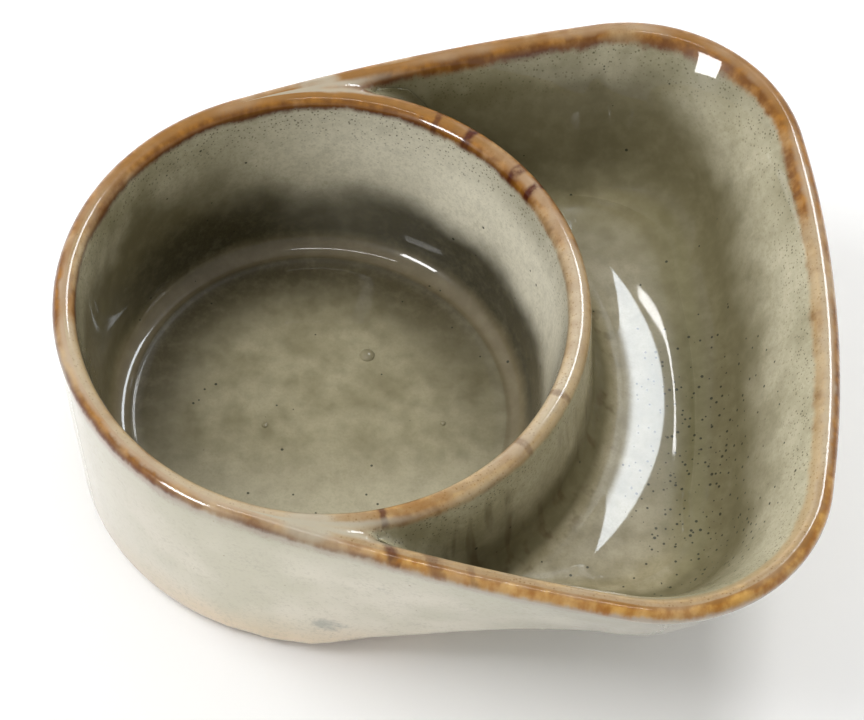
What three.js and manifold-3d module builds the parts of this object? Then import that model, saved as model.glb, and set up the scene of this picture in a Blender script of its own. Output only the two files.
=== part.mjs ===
// A glazed stoneware soup bowl with a cracker tray luted to its side.
// Millimetres, +Z up, standing on z = 0, with the tray towards +X.
import * as THREE from 'three';
import { mergeVertices } from 'three/addons/utils/BufferGeometryUtils.js';
import Module from 'manifold-3d';

const { degToRad, lerp, smoothstep } = THREE.MathUtils;
const { abs, acos, atan2, cos, max, min, sin, sqrt, tan, PI } = Math;
const wasm = await Module();
wasm.setup();

// Soup bowl
const RIM_RADIUS = 67;                  // axis to the crest of the bowl's rim
const LIP = 3;                          // round of both rims, half their thickness
const SOUP_DEPTH = 54;                  // rim crest to soup floor
const SOUP_FLOOR = 9;                   // thickness of the soup floor
const SOUP_COVE = 7;                    // hollow round between soup floor and wall
const BOWL_LEAN = degToRad(5.2);        // the outer wall draws in towards its foot
const SOUP_LEAN = degToRad(8);          // the inner wall draws in more, so the wall thickens
const BASE_ROUND = 3.5;                 // round at the foot of the outer wall
const FOOT_HEIGHT = 7;                  // table to the underside of the soup floor
const FOOT_INSET = 2.3;                 // the foot ring stands back this far from the round of the wall
const FOOT_WIDTH = 8;                   // width of the foot ring
const FOOT_REVEAL = 1.2;                // the foot ring stands this far below the wall
const FOOT_CHAMFER = 0.8;               // broken edges of the foot ring

// Plan of the tray's rim crest: flank, corner and end arcs, each tangent to the next
const JOINT_ANGLE = degToRad(110.4);    // where the tray's rim leaves the bowl's rim
const FLANK_RADIUS = 616;
const CORNER_RADIUS = 43;
const END_RADIUS = 311;
const TRAY_REACH = 131.3;               // bowl axis to the crest at the tray's end

// Section of the tray away from the bowl
const TRAY_DEPTH = 40;                  // rim crest to tray floor
const TRAY_FLOOR = 8;                   // thickness of the tray floor
const TRAY_INNER_LEAN = degToRad(27);   // slope of the tray's walls from the vertical
const TRAY_OUTER_LEAN = degToRad(26);
const TRAY_COVE = 14;                   // hollow round between tray floor and tray wall
const TRAY_ROUND = 20;                  // belly under the tray wall
const SEAM_COVE = 13;                   // hollow round between tray floor and bowl
const UNDER_COVE = 12;                  // hollow round between tray underside and bowl
const NOSE = 6;                         // rounding between the tray's two slopes where they meet
const WEB_START = 1;                    // where the rims are this far apart the webs start to fall
const WEB_END = 36;                     // and here they have come down to the tray floor
const FLANK_WALL = 8;                   // thickness of the tray wall at the joints
const SECTION_TURN = 0.5;               // how far the sections turn from radial to square
const BLEND_START = -0.1;               // in flank lengths from the joint: the bowl's form starts to change
const BLEND_END = 1.2;                  // and here, past the corner's start, it has the tray's form
const JOINT_EASE = 0.35;                // over this share of the flank the change sets in gently
const SEAM_RISE = 1.5;                  // the coil of the seam starts this far above the tray floor
const FEATHER = 4.5;                    // the tray wall starts this far past the joint at the rim
const FEATHER_SLANT = 0.43;             // and this much further for each millimetre down
const WEB_ANGLE = degToRad(46);         // the webs end here and the tray floor starts
const CLEARANCE = 0.3;                  // joint between neighbouring pieces
const BITE = 1;                         // the coils press this far into the bowl's wall before they are cut

// Fineness of the curved surfaces
const LATHE_STEPS = 64;
const ARC_STEPS = 3;
const FLANK_STATIONS = 25;
const CORNER_STATIONS = 10;
const END_STATIONS = 4;
const TOP_POINTS = 24;
const UNDER_POINTS = 16;
const STATION_CROWD = 0.5;              // flank stations crowd where the webs plunge
const FINE_STEPS = 260;                 // samples from which a section's points are picked
const TURN_WEIGHT = 14;                 // millimetres of length that one radian of bend counts for
const EVEN_PASSES = 6;                  // times that the points are evened out between stations

// Levels and places that follow
const HEIGHT = FOOT_HEIGHT + SOUP_FLOOR + SOUP_DEPTH;
const SOUP_LEVEL = HEIGHT - SOUP_DEPTH;
const TRAY_LEVEL = HEIGHT - TRAY_DEPTH;
const TRAY_UNDERSIDE = TRAY_LEVEL - TRAY_FLOOR;
const BOWL_RADIUS = RIM_RADIUS + LIP;
const BOWL_X = (BOWL_RADIUS - TRAY_REACH - LIP) / 2;
const SPARE = 20;                       // cutters reach this far past what they cut
const FAR = 3 * TRAY_REACH;             // half the size of cutters that span the whole plan
const WELD = 1e-4;                      // points closer than this are one point

const lipCentre = new THREE.Vector2(RIM_RADIUS, HEIGHT - LIP);
const baseCentre = new THREE.Vector2(0, FOOT_REVEAL + BASE_ROUND);
baseCentre.x = RIM_RADIUS - (BASE_ROUND - LIP
  + sin(BOWL_LEAN) * (lipCentre.y - baseCentre.y)) / cos(BOWL_LEAN);
const FOOT_RADIUS = baseCentre.x - FOOT_INSET;
const coveCentre = new THREE.Vector2(0, SOUP_LEVEL + SOUP_COVE);
coveCentre.x = RIM_RADIUS - (LIP + SOUP_COVE
  + sin(SOUP_LEAN) * (lipCentre.y - coveCentre.y)) / cos(SOUP_LEAN);

// The plan point at an angle and a distance from the bowl's axis
function polar(turn, radius) {
  return new THREE.Vector2(radius * cos(turn), radius * sin(turn));
}

// A closed geometry as a solid that can be joined and cut
function solid(geometry) {
  geometry.deleteAttribute('normal');
  geometry.deleteAttribute('uv');
  const merged = mergeVertices(geometry, WELD);
  const vertProperties = Float32Array.from(merged.attributes.position.array);
  const triVerts = Uint32Array.from(merged.index.array);
  return new wasm.Manifold(new wasm.Mesh({ numProp: 3, vertProperties, triVerts }));
}

// The largest connected piece of a solid, as a named mesh in its own finish
function piece(name, body, finish) {
  const parts = body.decompose().sort((a, b) => b.volume() - a.volume());
  const mesh = parts[0].getMesh();
  const geometry = new THREE.BufferGeometry();
  geometry.setAttribute('position', new THREE.BufferAttribute(mesh.vertProperties, 3));
  geometry.setIndex(new THREE.BufferAttribute(mesh.triVerts, 1));
  geometry.computeVertexNormals();
  const named = new THREE.Mesh(geometry, new THREE.MeshStandardMaterial(finish));
  named.name = name;
  return named;
}

// A profile of radius and height, turned about the bowl's axis
function turned(path) {
  const lathe = new THREE.LatheGeometry(path.getPoints(ARC_STEPS), LATHE_STEPS);
  return solid(lathe.rotateX(PI / 2));
}

// An upright prism on a plan outline
function prism(points, bottom, top) {
  const shape = new THREE.Shape(points);
  const block = new THREE.ExtrudeGeometry(shape, { depth: top - bottom, bevelEnabled: false });
  return solid(block.translate(0, 0, bottom));
}

// The bowl's outer side from its foot to its crest, grown outwards by a gap
function outerSide(path, gap) {
  path.absarc(baseCentre.x, baseCentre.y, BASE_ROUND + gap, -PI / 2, -BOWL_LEAN, false);
  path.absarc(lipCentre.x, lipCentre.y, LIP + gap, -BOWL_LEAN, PI / 2, false);
}

function soupBowlWall() {
  const inside = coveCentre.x + CLEARANCE;
  const coveStart = acos(CLEARANCE / SOUP_COVE);
  const path = new THREE.Path();
  path.moveTo(inside, FOOT_HEIGHT);
  path.lineTo(FOOT_RADIUS + CLEARANCE, FOOT_HEIGHT);
  path.lineTo(FOOT_RADIUS + CLEARANCE, FOOT_REVEAL);
  outerSide(path, 0);
  path.absarc(lipCentre.x, lipCentre.y, LIP, PI / 2, PI - SOUP_LEAN, false);
  path.absarc(coveCentre.x, coveCentre.y, SOUP_COVE, -SOUP_LEAN, -coveStart, true);
  path.closePath();
  return turned(path);
}

function soupBowlFloor() {
  const path = new THREE.Path();
  path.moveTo(0, FOOT_HEIGHT);
  path.lineTo(coveCentre.x, FOOT_HEIGHT);
  path.lineTo(coveCentre.x, SOUP_LEVEL);
  path.lineTo(0, SOUP_LEVEL);
  return turned(path);
}

function soupBowlFootRing() {
  const inner = FOOT_RADIUS - FOOT_WIDTH;
  const path = new THREE.Path();
  path.moveTo(inner, FOOT_HEIGHT - CLEARANCE);
  path.lineTo(inner, FOOT_CHAMFER);
  path.lineTo(inner + FOOT_CHAMFER, 0);
  path.lineTo(FOOT_RADIUS - FOOT_CHAMFER, 0);
  path.lineTo(FOOT_RADIUS, FOOT_CHAMFER);
  path.lineTo(FOOT_RADIUS, FOOT_HEIGHT - CLEARANCE);
  path.closePath();
  return turned(path);
}

// Everything within a gap of the bowl's outer side
function bowlEnvelope(gap) {
  const path = new THREE.Path();
  path.moveTo(0, -SPARE);
  path.lineTo(baseCentre.x, -SPARE);
  outerSide(path, gap);
  path.lineTo(RIM_RADIUS, HEIGHT + SPARE);
  path.lineTo(0, HEIGHT + SPARE);
  return turned(path);
}

// The point at the given distances from two centres, on the +Y side
function cornerPoint(a, fromA, b, fromB) {
  const along = b.clone().sub(a);
  const span = along.length();
  along.normalize();
  const reach = (fromA ** 2 - fromB ** 2 + span ** 2) / (2 * span);
  const rise = sqrt(fromA ** 2 - reach ** 2);
  const side = new THREE.Vector2(-along.y, along.x).multiplyScalar(along.x > 0 ? rise : -rise);
  return a.clone().addScaledVector(along, reach).add(side);
}

// Stations along the tray's rim crest from the front joint round to the rear joint.
// Each has its point, its outward normal and how far it has gone from the bowl's form to the tray's.
function rimStations() {
  const flank = polar(JOINT_ANGLE, RIM_RADIUS - FLANK_RADIUS);
  const end = new THREE.Vector2(TRAY_REACH - END_RADIUS, 0);
  const corner = cornerPoint(flank, FLANK_RADIUS - CORNER_RADIUS, end, END_RADIUS - CORNER_RADIUS);
  const flankTurn = atan2(corner.y - flank.y, corner.x - flank.x);
  const endTurn = atan2(corner.y - end.y, corner.x - end.x);
  const flankLength = FLANK_RADIUS * (JOINT_ANGLE - flankTurn);
  const cornerLength = CORNER_RADIUS * (flankTurn - endTurn);
  const lastLength = sqrt(CLEARANCE * RIM_RADIUS);
  const lastTurn = JOINT_ANGLE - lastLength / FLANK_RADIUS;
  const half = [];
  const addArc = (centre, radius, from, to, length, count, crowd) => {
    for (let i = 0; i < count; i += 1) {
      const even = i / count;
      const turn = lerp(from, to, even + crowd * sin(2 * PI * even) / (2 * PI));
      const normal = polar(turn, 1);
      const done = (length + radius * (to - turn)) / flankLength;
      half.push({
        point: centre.clone().addScaledVector(normal, radius),
        normal,
        done,
        blend: smoothstep(done, BLEND_START, BLEND_END) * smoothstep(done, 0, JOINT_EASE),
      });
    }
  };
  addArc(end, END_RADIUS, 0, endTurn, flankLength + cornerLength, END_STATIONS, 0);
  addArc(corner, CORNER_RADIUS, endTurn, flankTurn, flankLength, CORNER_STATIONS, 0);
  addArc(flank, FLANK_RADIUS, flankTurn, lastTurn, lastLength, FLANK_STATIONS, STATION_CROWD);
  addArc(flank, FLANK_RADIUS, lastTurn, JOINT_ANGLE, 0, 1, 0);
  const mirror = (v) => new THREE.Vector2(v.x, -v.y);
  const front = half.slice(1).map((s) => ({ ...s, point: mirror(s.point), normal: mirror(s.normal) }));
  return [...front.reverse(), ...half];
}

// Depth below the crest at a distance inside it: round lip, leaning wall, cove, floor
function innerDepth(distance, lean, cove, floor) {
  if (distance <= 0) return 0;
  const lipEnd = LIP * cos(lean);
  const lipDrop = LIP * (1 - sin(lean));
  if (distance < lipEnd) return min(LIP - sqrt(LIP ** 2 - distance ** 2), floor);
  const hollow = min(cove, max(floor - lipDrop, 0));
  const hollowEnd = lipEnd + (hollow + (floor - hollow - lipDrop) * sin(lean)) / cos(lean);
  if (distance < hollowEnd - hollow * cos(lean)) return lipDrop + (distance - lipEnd) / tan(lean);
  if (distance < hollowEnd) return floor - hollow + sqrt(hollow ** 2 - (hollowEnd - distance) ** 2);
  return floor;
}

// Depth below the crest at a distance inside the widest line: lip, leaning wall, belly, underside
function outerDepth(distance, lean, belly, underside) {
  const lipEnd = LIP * (1 - cos(lean));
  const lipDrop = LIP * (1 + sin(lean));
  if (distance < lipEnd) return LIP + sqrt(max(LIP ** 2 - (LIP - distance) ** 2, 0));
  const bellyEnd = lipEnd + (belly + (underside - belly - lipDrop) * sin(lean)) / cos(lean);
  if (distance < bellyEnd - belly * cos(lean)) return lipDrop + (distance - lipEnd) / tan(lean);
  if (distance < bellyEnd) return underside - belly + sqrt(belly ** 2 - (bellyEnd - distance) ** 2);
  return underside;
}

// Depth of the tray's inside, from its distances to the bowl's crest and to the tray's crest.
// The two distances are rounded together, and the floor falls as the gap between the crests widens.
function trayDepth(toBowl, toTray, gap, blend) {
  const near = max(NOSE - abs(toBowl - toTray), 0) / NOSE;
  const distance = min(toBowl, toTray) - near ** 2 * NOSE / 4;
  const trayShare = toBowl < toTray ? near ** 2 / 2 : 1 - near ** 2 / 2;
  const lean = lerp(BOWL_LEAN, lerp(BOWL_LEAN, TRAY_INNER_LEAN, blend), trayShare);
  const cove = lerp(SEAM_COVE, TRAY_COVE, trayShare);
  return innerDepth(distance, lean, cove, TRAY_DEPTH * smoothstep(gap, WEB_START, WEB_END));
}

// Depth of the outside: the tray's wall, belly and underside, and the cove up against the bowl's wall
function outsideDepth(radius, fromEdge, blend) {
  const foot = HEIGHT - FOOT_REVEAL;
  const underside = lerp(foot, HEIGHT - TRAY_UNDERSIDE, blend);
  const tray = outerDepth(fromEdge, lerp(BOWL_LEAN, TRAY_OUTER_LEAN, blend),
    lerp(BASE_ROUND, TRAY_ROUND, blend), underside);
  const cove = min(UNDER_COVE, (foot - BASE_ROUND - underside) / 2);
  const bowl = outerDepth(BOWL_RADIUS - radius, BOWL_LEAN, BASE_ROUND, foot);
  if (cove <= 0) return max(tray, radius < BOWL_RADIUS ? bowl : 0);
  const wallRadius = RIM_RADIUS + LIP / cos(BOWL_LEAN) - (underside - LIP) * tan(BOWL_LEAN);
  const coveEnd = wallRadius - cove * tan(BOWL_LEAN) + cove / cos(BOWL_LEAN);
  if (radius > coveEnd) return tray;
  if (radius < coveEnd - cove * cos(BOWL_LEAN)) return max(tray, bowl);
  return max(tray, underside + cove - sqrt(cove ** 2 - (coveEnd - radius) ** 2));
}

// Running totals along a fine line: its length, and its length with the bends counted in
function runningTotals(line) {
  const length = [0];
  const weight = [0];
  for (let i = 1; i < line.length; i += 1) {
    const step = line[i].clone().sub(line[i - 1]);
    const last = i > 1 ? line[i - 1].clone().sub(line[i - 2]) : step;
    const bend = abs(atan2(last.cross(step), last.dot(step)));
    length.push(length[i - 1] + step.length());
    weight.push(weight[i - 1] + step.length() + TURN_WEIGHT * bend);
  }
  return { length, weight };
}

// Where rising totals reach a goal: the place before it, and the share of the way to the next place
function placeOf(totals, goal) {
  let next = 1;
  while (next < totals.length - 1 && totals[next] < goal) next += 1;
  const share = (goal - totals[next - 1]) / (totals[next] - totals[next - 1]);
  return [next - 1, min(max(share, 0), 1)];
}

// Length shares of a few points on a fine line, closer together where it bends
function pointShares(line, count) {
  const { length, weight } = runningTotals(line);
  return Array.from({ length: count }, (_, k) => {
    const [i, share] = placeOf(weight, weight.at(-1) * k / (count - 1));
    return lerp(length[i], length[i + 1], share) / length.at(-1);
  });
}

// The points of a fine line at length shares
function pointsAt(line, shares) {
  const { length } = runningTotals(line);
  return shares.map((lengthShare) => {
    const [i, share] = placeOf(length, lengthShare * length.at(-1));
    return line[i].clone().lerp(line[i + 1], share);
  });
}

// Shares evened out between neighbouring stations, so that the points run on in smooth rows
function evenOut(stationShares) {
  let even = stationShares;
  for (let pass = 0; pass < EVEN_PASSES; pass += 1) {
    const old = even;
    even = old.map((shares, s) => shares.map((share, k) => {
      const before = old[max(s - 1, 0)][k];
      const after = old[min(s + 1, old.length - 1)][k];
      return (before + 2 * share + after) / 4;
    }));
  }
  return even;
}

// Fine lines of the tray's section at a station: in over the top to the bowl's crest, back out under
// the tray from inside the bowl's wall to the widest line, and up round the lip
function sectionLines({ point, normal, done, blend }) {
  const turn = atan2(point.y, point.x) * (1 - SECTION_TURN * min(done, 1) ** 2);
  const run = polar(turn, RIM_RADIUS).sub(point);
  const gap = run.length();
  const inward = run.divideScalar(gap);
  const square = -inward.dot(normal);
  const edge = -LIP / square;
  const inside = gap + LIP + BASE_ROUND;
  const at = (along) => point.clone().addScaledVector(inward, along);
  const top = [];
  const under = [];
  for (let i = 0; i <= FINE_STEPS; i += 1) {
    const over = gap * i / FINE_STEPS;
    const toBowl = at(over).length() - RIM_RADIUS + BITE;
    top.push(new THREE.Vector2(over, HEIGHT - trayDepth(toBowl, over * square, gap, blend)));
    const below = lerp(inside, edge, 1 - (1 - i / FINE_STEPS) ** 2);
    const depth = outsideDepth(at(below).length() + BITE, below * square + LIP, blend);
    under.push(new THREE.Vector2(below, HEIGHT - depth));
  }
  const lip = [];
  for (let i = 1; i < ARC_STEPS; i += 1) {
    const turned = PI / 2 * i / ARC_STEPS;
    lip.push(new THREE.Vector2(edge * cos(turned), HEIGHT - LIP + LIP * sin(turned)));
  }
  return { at, top, under, lip };
}

// The closed sections of the tray at its stations, flat and in place
function traySections(stations) {
  const lines = stations.map(sectionLines);
  const tops = evenOut(lines.map(({ top }) => pointShares(top, TOP_POINTS)));
  const unders = evenOut(lines.map(({ under }) => pointShares(under, UNDER_POINTS)));
  return lines.map(({ at, top, under, lip }, s) => {
    const flat = [...pointsAt(top, tops[s]), ...pointsAt(under, unders[s]), ...lip];
    return { flat, world: flat.map((p) => new THREE.Vector3(...at(p.x), p.y)) };
  });
}

// A closed solid through sections that all have as many points
function loft(sections) {
  const count = sections[0].world.length;
  const position = sections.flatMap((section) => section.world.flatMap((p) => p.toArray()));
  const index = [];
  for (let s = 0; s + 1 < sections.length; s += 1) {
    for (let i = 0; i < count; i += 1) {
      const next = (i + 1) % count;
      const [a, b] = [s * count + i, s * count + next];
      index.push(a, a + count, b, b, a + count, b + count);
    }
  }
  const capAt = (s, flip) => {
    for (const [a, b, c] of THREE.ShapeUtils.triangulateShape(sections[s].flat, [])) {
      const [start, second, third] = flip ? [a, c, b] : [a, b, c];
      index.push(s * count + start, s * count + second, s * count + third);
    }
  };
  capAt(0, true);
  capAt(sections.length - 1, false);
  const geometry = new THREE.BufferGeometry();
  geometry.setAttribute('position', new THREE.Float32BufferAttribute(position, 3));
  geometry.setIndex(index);
  return solid(geometry);
}

// Upright wedge between two angles about the bowl's axis
function wedge(from, to) {
  const spoke = (turn) => polar(turn, FAR);
  return prism([new THREE.Vector2(), spoke(from), spoke((from + to) / 2), spoke(to)], -SPARE, HEIGHT + SPARE);
}

// Everything on the tray's side of the slanting line where its wall feathers into the bowl
function pastJoint() {
  const start = RIM_RADIUS * cos(JOINT_ANGLE) + FEATHER;
  const side = [[start, HEIGHT], [start + FEATHER_SLANT * HEIGHT, 0], [FAR, 0], [FAR, HEIGHT]];
  const shape = new THREE.Shape(side.map(([x, z]) => new THREE.Vector2(x, z)));
  const slab = new THREE.ExtrudeGeometry(shape, { depth: 2 * FAR, bevelEnabled: false });
  return solid(slab.rotateX(PI / 2).translate(0, FAR, 0));
}

// A flat layer of the whole plan between two heights
function layer(bottom, top) {
  const plan = [[-FAR, -FAR], [FAR, -FAR], [FAR, FAR], [-FAR, FAR]];
  return prism(plan.map(([x, y]) => new THREE.Vector2(x, y)), bottom, top);
}

// The tray, cut into wall, floor, coils and webs
function trayPieces() {
  const stations = rimStations();
  const body = loft(traySections(stations)).subtract(bowlEnvelope(CLEARANCE));
  const lipEnd = LIP * cos(TRAY_INNER_LEAN);
  const lipDrop = LIP * (1 - sin(TRAY_INNER_LEAN));
  const slope = (TRAY_DEPTH - TRAY_COVE - lipDrop) * sin(TRAY_INNER_LEAN);
  const floorEdge = min(lipEnd + (TRAY_COVE + slope) / cos(TRAY_INNER_LEAN), CORNER_RADIUS - LIP);
  const insidePlan = (gap) => stations.map(({ point, normal, blend }) => {
    const inset = lerp(FLANK_WALL, floorEdge, blend ** 3) + gap;
    return point.clone().addScaledVector(normal, -inset);
  });
  const [low, high] = [-SPARE, HEIGHT + SPARE];
  const wall = body.subtract(prism(insidePlan(0), low, high)).intersect(pastJoint());
  const inside = body.intersect(prism(insidePlan(CLEARANCE), low, high));
  const gapTurn = CLEARANCE / BOWL_RADIUS;
  const middle = inside.intersect(wedge(-WEB_ANGLE, WEB_ANGLE));
  const upper = inside.intersect(layer(TRAY_UNDERSIDE, high));
  return {
    wall,
    floor: middle.intersect(layer(TRAY_UNDERSIDE, TRAY_LEVEL + SEAM_RISE)),
    seam: middle.intersect(layer(TRAY_LEVEL + SEAM_RISE + CLEARANCE, high)),
    under: inside.intersect(layer(low, TRAY_UNDERSIDE - CLEARANCE)),
    rearWeb: upper.intersect(wedge(WEB_ANGLE + gapTurn, PI - WEB_ANGLE)),
    frontWeb: upper.intersect(wedge(WEB_ANGLE - PI, -WEB_ANGLE - gapTurn)),
  };
}

const glazedOlive = { color: 0x8a8266, roughness: 0.22, metalness: 0 };
const glazedBone = { color: 0xc2b79c, roughness: 0.25, metalness: 0 };
const bareClay = { color: 0xa98f70, roughness: 0.9, metalness: 0 };

const tray = trayPieces();
const bowl = new THREE.Group();
bowl.position.x = BOWL_X;
bowl.add(
  piece('soup_bowl_wall', soupBowlWall(), glazedBone),
  piece('soup_bowl_floor', soupBowlFloor(), glazedOlive),
  piece('soup_bowl_foot_ring', soupBowlFootRing(), bareClay),
  piece('tray_wall', tray.wall, glazedBone),
  piece('tray_floor', tray.floor, glazedOlive),
  piece('tray_seam_fillet', tray.seam, glazedOlive),
  piece('under_tray_fillet', tray.under, glazedBone),
  piece('front_joint_web', tray.frontWeb, glazedOlive),
  piece('rear_joint_web', tray.rearWeb, glazedOlive),
);

export default bowl;
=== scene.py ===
import math
import bpy
import numpy as np
from mathutils import Matrix, Vector


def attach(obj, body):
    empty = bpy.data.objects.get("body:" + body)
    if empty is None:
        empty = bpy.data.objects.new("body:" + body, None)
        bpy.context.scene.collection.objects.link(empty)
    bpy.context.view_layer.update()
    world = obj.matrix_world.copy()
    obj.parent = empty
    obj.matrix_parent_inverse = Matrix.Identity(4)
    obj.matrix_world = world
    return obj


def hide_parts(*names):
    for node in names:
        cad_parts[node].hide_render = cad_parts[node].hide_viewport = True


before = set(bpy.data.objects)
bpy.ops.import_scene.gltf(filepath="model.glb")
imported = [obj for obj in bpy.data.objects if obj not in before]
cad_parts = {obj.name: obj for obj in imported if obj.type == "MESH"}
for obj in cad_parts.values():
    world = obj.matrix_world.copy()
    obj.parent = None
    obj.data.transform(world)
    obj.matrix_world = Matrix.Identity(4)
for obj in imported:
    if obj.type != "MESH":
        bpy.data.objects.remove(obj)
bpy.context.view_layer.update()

# Driving dimensions in millimetres, the same as in the part
RIM_RADIUS = 67.0
LIP = 3.0
SOUP_DEPTH = 54.0
SOUP_FLOOR = 9.0
SOUP_COVE = 7.0
BOWL_LEAN = math.radians(5.2)
SOUP_LEAN = math.radians(8.0)
BASE_ROUND = 3.5
FOOT_HEIGHT = 7.0
FOOT_INSET = 2.3
FOOT_WIDTH = 8.0
FOOT_REVEAL = 1.2
JOINT_ANGLE = math.radians(110.4)
FLANK_RADIUS = 616.0
CORNER_RADIUS = 43.0
END_RADIUS = 311.0
TRAY_REACH = 131.3
TRAY_DEPTH = 40.0
TRAY_FLOOR = 8.0
TRAY_INNER_LEAN = math.radians(27.0)
TRAY_OUTER_LEAN = math.radians(26.0)
TRAY_COVE = 14.0
TRAY_ROUND = 20.0
UNDER_COVE = 12.0
NOSE = 6.0
WEB_START = 1.0
WEB_END = 36.0
SECTION_TURN = 0.5
BLEND_START = -0.1
BLEND_END = 1.2
JOINT_EASE = 0.35
CLEARANCE = 0.3

# Small forms of the glazed skin and the foot ring that differ from the part, in millimetres
RIDGE = 0.35                        # height of the ring round the soup floor
RIDGE_WIDTH = 1.0
FOOT_ROUND = 1.0                    # rounded edges of the foot ring
SEAM_COVE = 9.0                     # hollow round between tray floor and bowl
TRAY_SWEEP = 16.0                   # hollow round in which the tray's wall leaves the dished floor
SWEEP_EASE = 1.6                    # rounding where the sweep and the floor meet
LEAST_EASE = 0.001                  # keeps that rounding above zero on the webs
TRAY_FLARE = math.radians(15.0)     # the tray's inner wall leans this much further out at the lip
FLARE_REACH = 15.0                  # and this far in it has lost the flare
DISH = 1.8                          # how far the tray floor falls away from the bowl
DISH_RUN = 9.0                      # over about this distance
BASE_HOLD = (0.1, 0.5)              # in flank lengths: the outer wall lets go of the bowl's base
FOOT_GAP = 0.4                      # the outside ends this far from the foot ring
SKIN_SCALE = 0.9998                 # keeps the skin inside the part's own box

# Beads of glaze on the soup floor: place in the plan and share of the full size
BEADS = ((-18.9, 18.7, 1.0), (-46.6, -4.3, 0.45), (1.4, -3.2, 0.4))
BEAD_REACH = 2.3
BEAD_RISE = 1.6
BEAD_SINK = 0.6

# Worked out from the sizes above
HEIGHT = FOOT_HEIGHT + SOUP_FLOOR + SOUP_DEPTH
SOUP_LEVEL = HEIGHT - SOUP_DEPTH
TRAY_UNDERSIDE = HEIGHT - TRAY_DEPTH - TRAY_FLOOR
BOWL_RADIUS = RIM_RADIUS + LIP
BOWL_X = (RIM_RADIUS - TRAY_REACH) / 2
LIP_LEVEL = HEIGHT - LIP
COVE_LEVEL = SOUP_LEVEL + SOUP_COVE
COVE_DRAW = math.sin(SOUP_LEAN) * (LIP_LEVEL - COVE_LEVEL)
SOUP_EDGE = RIM_RADIUS - (LIP + SOUP_COVE + COVE_DRAW) / math.cos(SOUP_LEAN)
BASE_DROP = LIP_LEVEL - FOOT_REVEAL - BASE_ROUND
BASE_DRAW = math.sin(BOWL_LEAN) * BASE_DROP
BASE_REACH = RIM_RADIUS - (BASE_ROUND - LIP + BASE_DRAW) / math.cos(BOWL_LEAN)
FOOT_RADIUS = BASE_REACH - FOOT_INSET
MM = 0.001

# Fineness of the meshes
END_COLUMNS = 14
CORNER_COLUMNS = 36
FLANK_COLUMNS = 92
BACK_COLUMNS = 104
WELL_ROWS = 54
TRAY_ROWS = 96
OUTSIDE_ROWS = 100
RECESS_ROWS = 8
ROUND_SAMPLES = 80
FLOOR_SAMPLES = 200
TRAY_SAMPLES = 1500
LIP_SAMPLES = 60
OUTSIDE_SAMPLES = 2500
MIDDLE_GAP = 0.5
FIRST_GAP = 6.0
TURN_WEIGHT = 14.0
EVEN_PASSES = 12
RING_STEPS = 192
BEAD_SEGMENTS = 24
BEAD_RINGS = 16

# Places of the glaze's own marks in millimetres, and where it runs over the rims as dark drips:
# angle about the bowl's axis in degrees, half width in millimetres, strength
BOWL_DRIPS = ((53.7, 2.0, 1.0), (62.4, 1.2, 0.7), (39.1, 2.0, 1.0), (33.0, 1.8, 1.0),
              (-25.3, 1.4, 0.5), (-40.9, 1.6, 0.45), (-77.1, 1.5, 0.8))
TRAY_DRIPS = ((-77.5, 2.2, 0.8), (-70.9, 2.4, 0.5), (-66.0, 1.2, 0.4))
LOW_SMUDGE = (-29.4, -67.9, 18.9)
HIGH_SMUDGE = (-29.7, -72.8, 54.2)
CRAWLED = (-90.1, 14.4, 37.1)
FRONT_WEB = (-36.0, -68.5, HEIGHT)
REAR_WEB = (-33.0, 69.5, HEIGHT)
WEB_REACH = 9.5
WEB_PALE = 6.0

# Finish of the glaze and the clay: bump heights in millimetres, the rest as the shader takes them
GLAZE_WAVE = 0.14
GLAZE_SPECULAR = 0.1
COAT_ROUGHNESS = 0.03
COAT_IOR = 1.34
CLAY_GRIT = 0.15
CLAY_LINES = 6.0

# The photograph's camera, fitted to it: angles, then millimetres, then pixels
CAMERA_AZIMUTH = math.radians(-4.78)
CAMERA_ELEVATION = math.radians(56.16)
CAMERA_ROLL = math.radians(4.54)
CAMERA_TARGET = (-4.2, -18.8, HEIGHT)
CAMERA_DISTANCE = 1026.7
SENSOR_WIDTH = 36.0
FOCAL_PIXELS = 4000
PHOTO_WIDTH = 864

# The stage: places that the lamps face in millimetres, tones, sky strengths, then metres
WHOLE = (10, 0, 40)
TRAY_MIDDLE = (55, 0, 29)
TRAY_CORNER = (73, 81, 67)
PLAIN = (1.0, 1.0, 1.0)
DAYLIGHT = (0.86, 0.93, 1.0)
SKY_RIM = 0.95
SKY_TOP = 0.55
SKY_FADE = 0.55
FLOOR_WHITE = (0.9, 0.9, 0.9, 1.0)
FLOOR_HALF = 4.0
CLIP_END = 20.0

# The part's nodes that the glazed skin stands for
GLAZED = ["soup_bowl_wall", "soup_bowl_floor", "tray_wall", "tray_floor", "tray_seam_fillet",
          "under_tray_fillet", "front_joint_web", "rear_joint_web"]


def smoothstep(value, low, high):
    share = np.clip((value - low) / (high - low), 0, 1)
    return share * share * (3 - 2 * share)


def lerp(a, b, share):
    return a + (b - a) * share


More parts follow.
